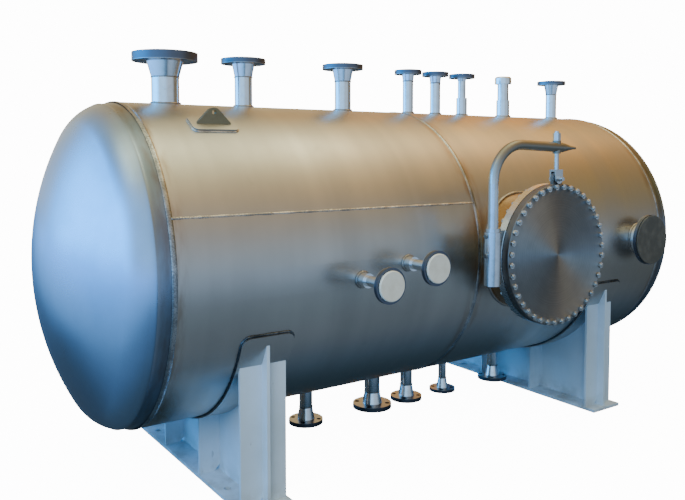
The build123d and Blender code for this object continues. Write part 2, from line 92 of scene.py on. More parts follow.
# A head's rim is rolled down into a shallow groove that ends in a low ridge: shares of the
# ridge's distance from the seam, and of the groove's depth
RIM_PROFILE = ((0.45, 0.68), (0.8, 0.95), (0.9, 1.0), (0.96, 0.95), (1.0, 0.93), (1.04, 0.99),
               (1.12, 1.25))
# How far a fillet bead's middle stands off the shell and off the pipe
BEAD_STAND_OFF = 0.001
# The rounded corners of a wear pad and of a lifting lug's doubler
PAD_CORNER, DOUBLER_CORNER = 0.028, 0.018
# How far a manway stud stands out of its nuts, its thread, and the play of a nut on it
STUD_PAST_NUT, THREAD_PITCH, NUT_PLAY = 0.003, 0.002, 0.0002
# The davit's set screws: height over the socket's top, distance past the pipe's axis, and body
SOCKET_R = 0.027
SCREW_FLATS, SCREW_HEIGHT = 0.013, 0.008
SET_SCREWS = ((-0.012, -0.0305, VESSEL), (-0.075, -0.0305, VESSEL), (0.0063, 0.0262, DAVIT))

# The camera that took the photograph, worked out from the tank's edges
CAMERA_PLACE = (-1.018, -2.348, 1.039)
CAMERA_YAW = 34.64
CAMERA_PITCH = -3.203
CAMERA_LENS = 39.409
CAMERA_SENSOR = 36.0
CAMERA_SHIFT = (-0.00743, -0.0812)

# Light that only the camera sees, which makes the backdrop and the floor pale
BACKDROP = (14.0, 14.0, 14.0, 1)
FLOOR_LIFT = 13.0
FLOOR_SIZE = 60

# The one lamp, in front of the tank's left end: its turn in degrees, its edge, and its power
LAMP_PLACE = (-2.6, -3.2, 3.4)
LAMP_TURN = (50, 0, -42)
LAMP_SIZE = 2.4
LAMP_POWER = 120
LAMP_COLOUR = (1.0, 0.97, 0.92)

# The hall that the steel mirrors: degrees round the tank from the front, and linear colours
HALL_LEFT = ((0, (0.52, 0.70, 0.92)), (26, (0.55, 0.52, 0.48)), (50, (0.84, 0.63, 0.36)),
             (74, (1.6, 1.48, 0.88)), (84, (3.4, 3.5, 2.3)), (92, (3.9, 4.0, 2.7)),
             (112, (0.96, 0.87, 0.52)),
             (136, (0.74, 0.43, 0.15)), (180, (1.1, 0.97, 0.58)))
HALL_MIDDLE = ((0, (0.50, 0.66, 0.84)), (26, (0.38, 0.37, 0.26)), (50, (0.62, 0.385, 0.14)),
               (74, (1.1, 0.51, 0.14)), (94, (3.1, 1.6, 0.48)), (112, (1.8, 1.05, 0.27)),
               (136, (1.6, 0.56, 0.08)), (158, (0.88, 0.42, 0.13)), (180, (0.56, 0.26, 0.09)))
HALL_RIGHT = ((0, (0.17, 0.16, 0.15)), (26, (0.25, 0.175, 0.055)), (50, (0.31, 0.22, 0.05)),
              (74, (0.34, 0.19, 0.04)), (105, (0.73, 0.32, 0.055)), (150, (0.34, 0.22, 0.072)),
              (180, (0.18, 0.105, 0.036)))
# The floor beside and under the tank: metres from its middle line, and linear colours
FLOOR_SHADE = ((0, (0.02, 0.035, 0.05)), (0.25, (0.02, 0.045, 0.07)), (0.45, (0.06, 0.11, 0.18)),
               (0.72, (0.15, 0.20, 0.26)), (1.3, (0.18, 0.25, 0.32)), (2.2, (0.20, 0.28, 0.37)),
               (4, (0.45, 0.66, 0.98)))
FLOOR_RIGHT = (0.55, 0.48, 0.40, 1)
FLOOR_BEHIND = (0.07, 0.13, 0.19, 1)
FLOOR_PATCH = (0.05, 0.07, 0.085, 1)
# The floor past the left head: metres to the left of the left saddle, and linear colours
FLOOR_LEFT = ((0, (0.03, 0.06, 0.09)), (0.45, (0.067, 0.11, 0.15)), (0.8, (0.11, 0.22, 0.38)),
              (1.17, (0.14, 0.28, 0.47)), (1.5, (0.24, 0.54, 0.95)), (2.1, (0.28, 0.66, 1.2)),
              (3.3, (0.35, 0.89, 1.8)), (6, (0.38, 1.2, 2.9)))

# What else the hall holds: its roof over the left head, daylight from the front and from behind
# past that head, a bright opening low down there, and what lies below the horizon
ROOF_DIMMED = (0.58, 0.54, 0.5, 1)
DAYLIGHT_FRONT = (0.6, 1.05, 1.55, 1)
DAYLIGHT_BACK = (0.42, 0.62, 0.78, 1)
OPENING = (0.26, 2.7, 6.6, 1)
BELOW = (0.06, 0.09, 0.15, 1)


def linear(hex_colour):
    """An sRGB hex colour as linear red, green, blue and alpha."""
    channels = [int(hex_colour[i:i + 2], 16) / 255 for i in (0, 2, 4)]
    return [c / 12.92 if c <= 0.04045 else ((c + 0.055) / 1.055) ** 2.4 for c in channels] + [1.0]


def dimmed(colour, red, green=None, blue=None):
    """A linear colour with its channels multiplied, all by the first share if it stands alone."""
    shares = (red, red if green is None else green, red if blue is None else blue)
    return (*(channel * share for channel, share in zip(colour, shares)), 1.0)


class TankSizes(bpy.types.PropertyGroup):
    """Sizes of the pieces that are added to the tank."""

    left_knuckle: bpy.props.FloatProperty(
        name="Left knuckle", description="Radius of the bend between the left head's rim and crown",
        default=0.130, unit="LENGTH")
    right_knuckle: bpy.props.FloatProperty(
        name="Right knuckle",
        description="Radius of the bend between the right head's rim and crown",
        default=0.070, unit="LENGTH")
    right_straight: bpy.props.FloatProperty(
        name="Right straight", description="Length of the right head's rim before its bend",
        default=0.028, unit="LENGTH")
    head_wall: bpy.props.FloatProperty(
        name="Head wall", description="Thickness of a head's plate", default=0.008, unit="LENGTH")
    rim_ridge: bpy.props.FloatProperty(
        name="Rim ridge", description="Distance of the ridge on a head's rim from its seam",
        default=0.044, unit="LENGTH")
    left_groove: bpy.props.FloatProperty(
        name="Left groove", description="Depth of the groove rolled into the left head's rim",
        default=0.00735, unit="LENGTH")
    right_groove: bpy.props.FloatProperty(
        name="Right groove", description="Depth of the groove rolled into the right head's rim",
        default=0.0036, unit="LENGTH")
    stud_count: bpy.props.IntProperty(
        name="Manway studs", description="Studs round the manway", default=40, min=4)
    stud_circle: bpy.props.FloatProperty(
        name="Stud circle", description="Diameter of the circle that the manway's studs stand on",
        default=0.466, unit="LENGTH")
    stud_diameter: bpy.props.FloatProperty(
        name="Stud", description="Diameter of a manway stud", default=0.012, unit="LENGTH")
    nut_flats: bpy.props.FloatProperty(
        name="Nut", description="Width of a nut across its flats", default=0.018, unit="LENGTH")
    nut_height: bpy.props.FloatProperty(
        name="Nut height", description="Height of a nut", default=0.009, unit="LENGTH")
    seam_width: bpy.props.FloatProperty(
        name="Long seam bead", description="Width of the bead on the left course's long seam",
        default=0.009, unit="LENGTH")
    long_seam_angle: bpy.props.FloatProperty(
        name="Long seam", description="Angle of the long seam above the tank's mid height",
        default=radians(20.5), subtype="ANGLE")
    fillet_width: bpy.props.FloatProperty(
        name="Fillet bead", description="Width of the bead round a nozzle's neck",
        default=0.009, unit="LENGTH")
    pad_bead: bpy.props.FloatProperty(
        name="Pad bead", description="Width of the bead round a wear pad or doubler",
        default=0.009, unit="LENGTH")
    ripple: bpy.props.FloatProperty(
        name="Ripple", description="Distance between two points along a weld bead",
        default=0.004, unit="LENGTH")


class TankColours(bpy.types.PropertyGroup):
    """Colours of the tank's finishes."""

    plate: bpy.props.FloatVectorProperty(
        name="Plate", description="Mill-finish stainless plate", subtype="COLOR", size=4,
        min=0, max=1, default=linear("c9c5bf"))
    # The heads' blue tint is a painted blue reflection
    head: bpy.props.FloatVectorProperty(
        name="Head", description="Ground stainless plate of the heads", subtype="COLOR", size=4,
        min=0, max=1, default=linear("b0c6e0"))
    turned: bpy.props.FloatVectorProperty(
        name="Turned steel", description="Turned stainless of flanges and pipes",
        subtype="COLOR", size=4, min=0, max=1, default=linear("eceef0"))
    cover: bpy.props.FloatVectorProperty(
        name="Manway cover", description="Face-turned stainless of the manway cover",
        subtype="COLOR", size=4, min=0, max=1, default=linear("a09c98"))
    heat: bpy.props.FloatVectorProperty(
        name="Heat tint", description="Oxide that welding leaves beside a bead",
        subtype="COLOR", size=4, min=0, max=1, default=linear("8a6a4a"))
    paint: bpy.props.FloatVectorProperty(
        name="Saddle paint", description="Paint on the saddles", subtype="COLOR", size=4,
        min=0, max=1, default=linear("c8dceb"))
    cap: bpy.props.FloatVectorProperty(
        name="Cap", description="Moulded caps on the gauge nozzles", subtype="COLOR", size=4,
        min=0, max=1, default=linear("d8d6c8"))
    rubber: bpy.props.FloatVectorProperty(
        name="Rubber", description="Blank on the side nozzle", subtype="COLOR", size=4,
        min=0, max=1, default=linear("45443e"))


def add(tree, kind, inputs=(), output=0, stops=None, **settings):
    """Adds a shader node with its settings and links, and gives one of its outputs, or all.

    Inputs go by order or by name, and stops are a colour ramp's places and colours.
    """
    node = tree.nodes.new("ShaderNode" + kind)
    for name, value in settings.items():
        setattr(node, name, value)
    for socket, value in (inputs.items() if isinstance(inputs, dict) else enumerate(inputs)):
        if isinstance(value, bpy.types.NodeSocket):
            tree.links.new(value, node.inputs[socket])
        else:
            node.inputs[socket].default_value = value
    if stops:
        elements, whole = node.color_ramp.elements, stops[-1][0]
        for spot, colour in stops[1:-1]:
            elements.new(spot / whole).color = (*colour, 1)
        elements[0].position, elements[-1].position = stops[0][0] / whole, 1.0
        elements[0].color, elements[-1].color = (*stops[0][1], 1), (*stops[-1][1], 1)
    return node.outputs if output is None else node.outputs[output]


def new_material(name):
    """An empty node material, and the tree to fill."""
    material = bpy.data.materials.new(name)
    material.use_nodes = True
    material.node_tree.nodes.clear()
    return material, material.node_tree


def shine(tree, colour, metal, roughness, relief, **more):
    """Ends a material: its surface and its output.

    The relief is a height from 0 to 1, how strongly it shows, and its depth in metres.
    """
    height, strength, depth = relief
    normal = add(tree, "Bump", {"Height": height, "Strength": strength, "Distance": depth})
    surface = add(tree, "BsdfPrincipled", {"Base Color": colour, "Metallic": metal,
                                           "Roughness": roughness, "Normal": normal, **more})
    add(tree, "OutputMaterial", {"Surface": surface}, None)


def distance_along(tree, axis):
    """How far a place lies along an axis of the piece, in metres."""
    return add(tree, "SeparateXYZ", (add(tree, "TexCoord", output="Object"),), axis)


def distance_from(tree, across):
    """How far a place lies from the plane across the tank at that X, in metres."""
    offset = add(tree, "Math", (distance_along(tree, 0), across), operation="SUBTRACT")
    return add(tree, "Math", (offset,), operation="ABSOLUTE")


def cloudy(tree, size, detail=3.0):
    """A cloudy pattern from 0 to 1, with the clouds' size in millimetres, overall or by axis."""
    sizes = size if isinstance(size, tuple) else (size, size, size)
    spot = add(tree, "VectorMath", (add(tree, "TexCoord", output="Object"),
                                    [1000 / side for side in sizes]), operation="MULTIPLY")
    return add(tree, "TexNoise", {"Vector": spot, "Scale": 1.0, "Detail": detail,
                                  "Roughness": 0.55})


def zone(tree, *sides):
    """How far a place lies in a zone: the product of its soft sides.

    A side is a value, where the side starts and ends, and what it runs between if not 0 and 1.
    """
    inside = None
    for side in sides:
        step = add(tree, "MapRange", side, interpolation_type="SMOOTHSTEP")
        inside = step if inside is None else add(tree, "Math", (inside, step),
                                                 operation="MULTIPLY")
    return inside


def layered(tree, colour, *layers):
    """A colour with tints laid over it in turn, each by a share from 0 to 1."""
    for share, tint in layers:
        colour = add(tree, "Mix", {0: share, 6: colour, 7: tint}, 2, data_type="RGBA")
    return colour


def heat_beside_seams(tree, seams, reach, strength):
    """How strongly the plate is tinted beside the round seams, broken into patches."""
    tinted = 0.0
    for seam in seams:
        beside = zone(tree, (distance_from(tree, seam), 0.008, reach, 1.0, 0.0))
        tinted = add(tree, "Math", (tinted, beside), operation="MAXIMUM")
    patches = zone(tree, (cloudy(tree, (33.3, 143, 143), 4.0), 0.35, 0.7, 0.0, strength))
    return add(tree, "Math", (tinted, patches), operation="MULTIPLY")


def mill_plate(colours):
    """Hot-rolled stainless plate, pickled, as the mill sends it."""
    # A hazy mirror that waves a little every 250 mm. Its haze drifts in clouds 385 mm wide, with
    # faint bands every 111 mm from the rolling, a few smudges from hands and slings, and a straw
    # tint beside each round seam. The rolled grain is 0.1 mm wide. It is drawn 1.4 mm wide, or it
    # wouldn't show.
    material, tree = new_material("mill-finish stainless plate")
    clouds, bands = cloudy(tree, 385, 5.0), cloudy(tree, (111, 3330, 3330), 2.0)
    tone = add(tree, "Math", (clouds, bands), operation="ADD")
    grain = cloudy(tree, (25, 1.43, 1.43), 2.0)
    colour = layered(
        tree, dimmed(colours.plate, 0.78),
        (zone(tree, (tone, 0.6, 1.4)), colours.plate),
        (zone(tree, (cloudy(tree, 111), 0.66, 0.8, 0.0, 0.18)), linear("898989")),
        (heat_beside_seams(tree, (LEFT_SEAM, MIDDLE_SEAM, RIGHT_SEAM), 0.05, 0.6), colours.heat))
    roughness = add(tree, "Math", (grain, 0.08, zone(tree, (tone, 0.6, 1.4, 0.36, 0.27))),
                    operation="MULTIPLY_ADD")
    height = add(tree, "Math", (grain, 0.012, cloudy(tree, (333, 222, 222), 1.0)),
                 operation="MULTIPLY_ADD")
    shine(tree, colour, 1.0, roughness, (height, 0.35, 0.006))
    return material


def ground_head(colours):
    """Stainless plate pressed to a dish and ground over, with painted shade along its straight rim.
    """
    # A smoother mirror than the shell, with clouds 312 mm wide where the disc went over it more
    # often. Its blue tint is a painted blue reflection. A scratch of the disc is 0.2 mm wide, and
    # is drawn 2.4 mm wide to show.
    material, tree = new_material("ground stainless plate")
    cloud = cloudy(tree, 312.5, 5.0)
    swirls = cloudy(tree, (16.7, 16.7, 2.38))
    from_middle = distance_from(tree, (LEFT_SEAM + RIGHT_SEAM) / 2)
    seam = (RIGHT_SEAM - LEFT_SEAM) / 2
    # The rim beside the seam, where its groove runs, is darkened: painted shade
    rim = zone(tree, (from_middle, seam + 0.03, seam + 0.06, 0.55, 0.0))
    colour = layered(
        tree, dimmed(colours.head, 0.8),
        (zone(tree, (cloud, 0.3, 0.7)), colours.head),
        (heat_beside_seams(tree, (LEFT_SEAM, RIGHT_SEAM), 0.06, 0.8), colours.heat),
        (rim, dimmed(colours.head, 0.3)))
    roughness = add(tree, "Math", (swirls, 0.06, zone(tree, (cloud, 0.3, 0.7, 0.31, 0.24))),
                    operation="MULTIPLY_ADD")
    height = add(tree, "Math", (swirls, 0.02, cloudy(tree, 250, 1.0)),
                 operation="MULTIPLY_ADD")
    shine(tree, colour, 1.0, roughness, (height, 0.3, 0.006))
    return material


def turned_steel(name, colour, roughness, marks_size=(11.1, 11.1, 1.11), marked=0.08, dull=None):
    """Turned or drawn stainless, which may be rougher and painted dark past a place along one axis.
    """
    # A clear, narrow mirror with stains 26 mm wide. A turning tool leaves a mark every 0.2 mm,
    # and the marks are drawn 1.1 mm apart or more to show. Past a given place along one axis the
    # piece is painted dark, a painted dark reflection, and made rougher.
    dull_share, dull_roughness = 0.9, 0.2
    material, tree = new_material(name)
    marks = cloudy(tree, marks_size, 2.0)
    stains = zone(tree, (cloudy(tree, 26.3, 4.0), 0.45, 0.75, 0.0, 0.2))
    toned = layered(tree, colour, (stains, dimmed(colour, 0.42, 0.38, 0.33)))
    rough = add(tree, "Math", (marks, 0.12, roughness), operation="MULTIPLY_ADD")
    if dull:
        axis, start, end, tone = dull
        # Painted dark reflection past the place, with real added roughness
        share = zone(tree, (distance_along(tree, axis), start, end, 0.0, dull_share))
        toned = layered(tree, toned, (share, linear(tone)))
        rough = add(tree, "Math", (share, dull_roughness / dull_share, rough),
                    operation="MULTIPLY_ADD")
    shine(tree, toned, 1.0, rough, (marks, marked, 0.0002))
    return material


def face_turned(colours):
    """Stainless plate faced on a lathe: concentric tool marks on the manway cover."""
    # The marks pull each highlight into two wedges that meet at the middle, so it is stretched
    # along the radius. They are some 0.3 mm apart on such a cover, and 2.4 mm here to show.
    material, tree = new_material("face-turned stainless")
    arm = add(tree, "VectorMath", (add(tree, "TexCoord", output="Object"),
                                   (MANWAY_X, DAVIT_Y, AXIS_Z)), operation="SUBTRACT")
    flat = add(tree, "VectorMath", (arm, (1, 0, 1)), operation="MULTIPLY")
    radius = add(tree, "VectorMath", (flat,), "Value", operation="LENGTH")
    outward = add(tree, "VectorMath", (flat,), operation="NORMALIZE")
    tangent = add(tree, "VectorTransform", (outward,), vector_type="VECTOR",
                  convert_from="OBJECT", convert_to="WORLD")
    turns = add(tree, "Math", (radius, 1000 / 2.38), operation="MULTIPLY")
    rings = add(tree, "TexNoise", {"W": turns, "Scale": 1.0, "Detail": 3.0},
                noise_dimensions="1D")
    tone = add(tree, "Math", (rings, cloudy(tree, 143)), operation="ADD")
    colour = layered(tree, dimmed(colours.cover, 0.7),
                     (zone(tree, (tone, 0.7, 1.3)), colours.cover))
    shine(tree, colour, 1.0, zone(tree, (rings, 0.2, 0.8, 0.42, 0.50)), (rings, 0.15, 0.0002),
          Anisotropic=0.93, Tangent=tangent)
    return material


def weld_metal(name, colour, between="94908c", rippled=0.6):
    """Weld metal as laid, bright on its crests and oxidised in between."""
    # It glints in dots along the run, in brighter and duller stretches 45 mm long. Its ripples
    # are 1.5 mm apart, and are drawn 3.8 mm apart to show.
    material, tree = new_material(name)
    ripples = cloudy(tree, 3.85, 2.0)
    tone = add(tree, "Math", (ripples, cloudy(tree, 45.5)), operation="ADD")
    toned = layered(tree, linear(between), (zone(tree, (tone, 0.8, 1.2)), colour))
    shine(tree, toned, 1.0, zone(tree, (ripples, 0.3, 0.7, 0.42, 0.26)),
          (ripples, rippled, 0.001))
    return material


def painted_plate(colours):
    """Sprayed pale blue-grey enamel on the saddles."""
    # Satin and even, a little cloudy over 250 mm, with orange peel of 2.4 mm, its real size, dust
    # in patches 71 mm wide on the lowest 90 mm, and scuffs 18 mm wide.
    material, tree = new_material("pale blue-grey paint")
    cloud = cloudy(tree, 250, 5.0)
    dust = zone(tree, (distance_along(tree, 2), 0.0, 0.09, 0.5, 0.0),
                (cloudy(tree, 71.4, 4.0), 0.35, 0.65))
    scuffs = zone(tree, (cloudy(tree, (18.2, 18.2, 45.5), 4.0), 0.7, 0.76, 0.0, 0.35))
    colour = layered(tree, dimmed(colours.paint, 0.86, 0.86, 0.84),
                     (zone(tree, (cloud, 0.35, 0.7)), colours.paint),
                     (dust, linear("8d8578")), (scuffs, linear("6f7478")))
    shine(tree, colour, 0.0, zone(tree, (cloud, 0.3, 0.7, 0.55, 0.42)),
          (cloudy(tree, 2.38, 2.0), 0.12, 0.0006))
    return material


def moulded(name, colour, dirt, roughness):
    """Moulded polyethylene, rubber sheet or fibre: matt, with a little dirt."""
    # Dirt lies in patches 33 mm wide. The grain of the mould is 0.2 mm wide, and is drawn 1.1 mm
    # wide to show.
    material, tree = new_material(name)
    patches = zone(tree, (cloudy(tree, 33.3, 4.0), 0.4, 0.72, 0.0, 0.4))
    shine(tree, layered(tree, colour, (patches, dirt)), 0.0, roughness,
          (cloudy(tree, 1.11, 2.0), 0.2, 0.0003))
    return material


def dress(node_name, material):
    """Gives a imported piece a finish."""
    mesh = frame["nodes"][node_name].data
    mesh.materials.clear()
    mesh.materials.append(material)


def pick(piece):
    """Makes one piece the only selected and the active one."""
    bpy.ops.object.select_all(action="DESELECT")
    piece.select_set(True)
    bpy.context.view_layer.objects.active = piece


def modify(piece, kind, **settings):
    """Adds a modifier and applies it."""
    pick(piece)
    bpy.ops.object.modifier_add(type=kind)
    modifier = piece.modifiers[-1]
    for name, value in settings.items():
        setattr(modifier, name, value)
    bpy.ops.object.modifier_apply(modifier=modifier.name)


def finish_piece(piece, name, body, material):
    """Names a piece, gives it its finish and makes it ride on its body."""
    piece.name = name
    piece.data.name = name
    piece.data.materials.clear()
    piece.data.materials.append(material)
    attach(piece, body)


def settle(piece):
    """Writes a piece's place and turn into its mesh."""
    pick(piece)
    bpy.ops.object.transform_apply(location=True, rotation=True, scale=True)


def copy_to(piece, matrix):
    """A copy of a piece with its own mesh, moved by a matrix that goes into the mesh."""
    copy = piece.copy()
    copy.data = piece.data.copy()
    bpy.context.collection.objects.link(copy)
    copy.data.transform(matrix)
    return copy


def even_steps(points, step, closed):
    """Points at even steps along a path."""
    ends = list(points) + ([points[0]] if closed else [])
    runs = [(second - first).length for first, second in zip(ends, ends[1:])]
    count = max(8, ceil(sum(runs) / step))
    result, passed, run = [], 0.0, 0
    for i in range(count if closed else count + 1):
        target = min(i * sum(runs) / count, sum(runs))
        while run < len(runs) - 1 and passed + runs[run] < target:
            passed += runs[run]
            run += 1
        share = (target - passed) / runs[run]
        result.append(ends[run].lerp(ends[run + 1], min(share, 1.0)))
    return result


def bead(name, points, width, material, step, closed=True):
    """A weld bead on the vessel: a round run along points whose thickness ripples."""
    path = even_steps(points, step, closed)
    curve = bpy.data.curves.new(name, "CURVE")
    curve.dimensions = "3D"
    curve.bevel_depth = width / 2
    curve.bevel_resolution = 2
    curve.use_fill_caps = True
    spline = curve.splines.new("POLY")
    spline.points.add(len(path) - 1)
    # Each second point is thinner, and two slower waves keep the ripples uneven
    for i, (point, spot) in enumerate(zip(spline.points, path)):
        point.co = (*spot, 1)
        point.radius = 1.0 + 0.12 * cos(pi * i) + 0.10 * sin(i * 0.37) + 0.06 * sin(i * 1.3)
    spline.use_cyclic_u = closed
    piece = bpy.data.objects.new(name, curve)
    bpy.context.collection.objects.link(piece)
    pick(piece)
    bpy.ops.object.convert(target="MESH")
    piece = bpy.context.object
    modify(piece, "WELD", merge_threshold=0.00002)
    pick(piece)
    bpy.ops.object.mode_set(mode="EDIT")
    bpy.ops.mesh.select_all(action="SELECT")
    bpy.ops.mesh.normals_make_consistent(inside=False)
    bpy.ops.object.mode_set(mode="OBJECT")
    bpy.ops.object.shade_smooth()
    finish_piece(piece, name, VESSEL, material)


def root_curve(centre_x, centre_z, radius, shell, direction, count=72):
    """Where a round neck meets the shell: direction is up, down or front."""
    points = []
    for i in range(count):
        angle = 2 * pi * i / count
        along, across = radius * cos(angle), radius * sin(angle)
        if direction == "front":
            height = centre_z - AXIS_Z + across
            points.append(Vector((centre_x + along, -sqrt(shell ** 2 - height ** 2),
                                  AXIS_Z + height)))
        else:
            rise = sqrt(shell ** 2 - across ** 2) * (1 if direction == "up" else -1)
            points.append(Vector((centre_x + along, across, AXIS_Z + rise)))
    return points


def hex_nut(flats, height, bore):
    """A chamfered hexagon nut about the origin, its axis along Y, bored through if asked."""
    bpy.ops.mesh.primitive_cylinder_add(vertices=6, radius=flats / sqrt(3), depth=height,
                                        rotation=(pi / 2, 0, 0))
    nut = bpy.context.object
    settle(nut)
    # A barrel just narrower than the corners are wide, with bevelled ends, takes the corners off
    bpy.ops.mesh.primitive_cylinder_add(vertices=36, radius=flats * 0.57, depth=height,
                                        rotation=(pi / 2, 0, 0))
    barrel = bpy.context.object
    settle(barrel)
    modify(barrel, "BEVEL", width=flats * 0.07, segments=1, limit_method="ANGLE")
    modify(nut, "BOOLEAN", operation="INTERSECT", object=barrel, solver="EXACT")
    bpy.data.objects.remove(barrel)
    if bore:
        bpy.ops.mesh.primitive_cylinder_add(vertices=24, radius=bore / 2, depth=height * 2,
                                            rotation=(pi / 2, 0, 0))
        drill = bpy.context.object
        settle(drill)
        modify(nut, "BOOLEAN", operation="DIFFERENCE", object=drill, solver="EXACT")
        bpy.data.objects.remove(drill)
    return nut


def threaded_stud(diameter, length, pitch):
    """A threaded rod about the origin, its axis along Y."""
    teeth = round(length / pitch)
    half_pitch = length / teeth / 2
    crest = diameter / 2
    root = crest - pitch * 0.45
    gap = pitch / 200
    bpy.ops.object.select_all(action="DESELECT")
    bpy.ops.mesh.primitive_cone_add(vertices=14, radius1=root, radius2=crest, depth=half_pitch,
                                    end_fill_type="NOTHING",
                                    location=(0, -length / 2 + half_pitch / 2, 0),
                                    rotation=(-pi / 2, 0, 0))
    stud = bpy.context.object
    settle(stud)
    bpy.ops.object.empty_add(location=(0, -length / 2 + half_pitch, 0))
    middle = bpy.context.object
    modify(stud, "MIRROR", use_axis=(False, True, False), mirror_object=middle,
           use_mirror_merge=True, merge_threshold=gap)
    bpy.data.objects.remove(middle)
    modify(stud, "ARRAY", count=teeth, use_relative_offset=False, use_constant_offset=True,
           constant_offset_displace=(0, 2 * half_pitch, 0), use_merge_vertices=True,
           merge_threshold=gap)
    pick(stud)
    bpy.ops.object.mode_set(mode="EDIT")
    bpy.ops.mesh.select_all(action="SELECT")
    bpy.ops.mesh.remove_doubles(threshold=gap)
    bpy.ops.mesh.select_all(action="SELECT")
    bpy.ops.mesh.fill_holes(sides=0)
    bpy.ops.mesh.select_all(action="SELECT")
    bpy.ops.mesh.normals_make_consistent(inside=False)
    bpy.ops.object.mode_set(mode="OBJECT")
    return stud


def on_circle(centre_x, centre_z, radius, count, y):
    """Matrices that carry a piece to each place on an upright bolt circle."""
    matrices = []
    for i in range(count):
        angle = 2 * pi * (i + 0.5) / count
        spot = (centre_x + radius * cos(angle), y, centre_z + radius * sin(angle))
        matrices.append(Matrix.Translation(spot) @ Matrix.Rotation(-angle, 4, "Y"))
    return matrices


class TANK_OT_stage(bpy.types.Operator):
    """Adds the floor, the light and the camera"""

    bl_idname = "tank.stage"
    bl_label = "Stage, light and camera"

    def execute(self, context):
        bpy.ops.object.select_all(action="DESELECT")
        bpy.ops.mesh.primitive_plane_add(size=FLOOR_SIZE)
        floor = context.object
        floor.name = "studio_floor"
        material, tree = new_material("pale floor")
        matt = add(tree, "BsdfDiffuse", {"Color": linear("ffffff")})
        lift = add(tree, "Emission", {"Color": linear("ffffff"), "Strength": FLOOR_LIFT})
        # What the tank mirrors of it: a floor in shade under the tank, browner past the right
        # head, and bluer and lighter past the left one
        x, y, _ = add(tree, "SeparateXYZ", (add(tree, "TexCoord", output="Object"),), None)
        aside = add(tree, "Math", (y,), operation="ABSOLUTE")
        share = add(tree, "Math", (aside, FLOOR_SHADE[-1][0]), operation="DIVIDE")
        shade = add(tree, "ValToRGB", (share,), stops=FLOOR_SHADE)
        right = zone(tree, (x, 1.6, 3.0), (aside, 3.6, 1.6, 0.3, 1.0))
        shade = add(tree, "Mix", {0: right, 6: shade, 7: FLOOR_RIGHT}, 2, data_type="RGBA",
                    blend_type="MULTIPLY")
        past = add(tree, "Math", (x, -1 / FLOOR_LEFT[-1][0]), operation="MULTIPLY")
        slant = add(tree, "Math", (x, y), operation="ADD")
        shade = layered(
            tree, shade, (zone(tree, (y, 0.3, 1.2)), FLOOR_BEHIND),
            (zone(tree, (x, -0.1, -0.45)), add(tree, "ValToRGB", (past,), stops=FLOOR_LEFT)),
            # A dark patch behind the left head, which its lower half mirrors
            (zone(tree, (slant, -0.85, -0.5), (x, -1.5, -1.25), (y, 0.0, 0.15)), FLOOR_PATCH))
        mixed = add(tree, "MixShader", (
            add(tree, "LightPath", output="Is Camera Ray"),
            add(tree, "Emission", {"Color": shade, "Strength": 1.0}),
            add(tree, "AddShader", (matt, lift))))
        add(tree, "OutputMaterial", {"Surface": mixed}, None)
        floor.data.materials.append(material)

        bpy.ops.object.camera_add(
            location=CAMERA_PLACE,
            rotation=(radians(90 + CAMERA_PITCH), 0, -radians(CAMERA_YAW)))
        camera = context.object
        camera.data.sensor_width = CAMERA_SENSOR
        camera.data.lens = CAMERA_LENS
        camera.data.shift_x, camera.data.shift_y = CAMERA_SHIFT
        context.scene.camera = camera

        world = bpy.data.worlds.new("studio")
        context.scene.world = world
        world.use_nodes = True
        tree = world.node_tree
        tree.nodes.clear()
        x, y, z = add(tree, "SeparateXYZ", (add(tree, "TexCoord", output="Generated"),), None)
        # A place in the hall is a direction: X to the right head, Y to the back and Z up. Round
        # the tank's axis it turns from the front at 0 over the top to the back at 180 degrees.
        front = add(tree, "Math", (y, -1.0), operation="MULTIPLY")
        turn = add(tree, "Math", (z, front), operation="ARCTAN2")
        turn = add(tree, "Math", (turn, pi), operation="DIVIDE")
        left, middle, right = (add(tree, "ValToRGB", (turn,), stops=stops)
                               for stops in (HALL_LEFT, HALL_MIDDLE, HALL_RIGHT))
        hall = layered(tree, left, (zone(tree, (x, 0.46, 0.70)), middle),
                       (zone(tree, (x, 0.68, 0.83)), right))
        hall = add(tree, "Mix", {0: zone(tree, (x, 0.45, 0.2), (z, 0.8, 0.95)), 6: hall,
                                 7: ROOF_DIMMED}, 2, data_type="RGBA", blend_type="MULTIPLY")
        daylight = layered(tree, DAYLIGHT_FRONT, (zone(tree, (y, -0.1, 0.5)), DAYLIGHT_BACK))
        behind = layered(
            tree, hall, (zone(tree, (x, 0.1, -0.6), (z, 0.95, 0.6)), daylight),
            (zone(tree, (x, -0.25, -0.75), (z, 0.6, 0.25), (y, -0.4, 0.2)), OPENING),
            (zone(tree, (z, 0.0, -0.12)), BELOW),
            (add(tree, "LightPath", output="Is Camera Ray"), BACKDROP))
        background = add(tree, "Background", {"Color": behind, "Strength": 1.0})
        add(tree, "OutputWorld", {"Surface": background}, None)

        bpy.ops.object.light_add(type="AREA", location=LAMP_PLACE,
                                 rotation=[radians(turn) for turn in LAMP_TURN])
        lamp = context.object
        lamp.data.size = LAMP_SIZE
        lamp.data.energy = LAMP_POWER
        lamp.data.color = LAMP_COLOUR
        lamp.visible_glossy = False
        return {"FINISHED"}


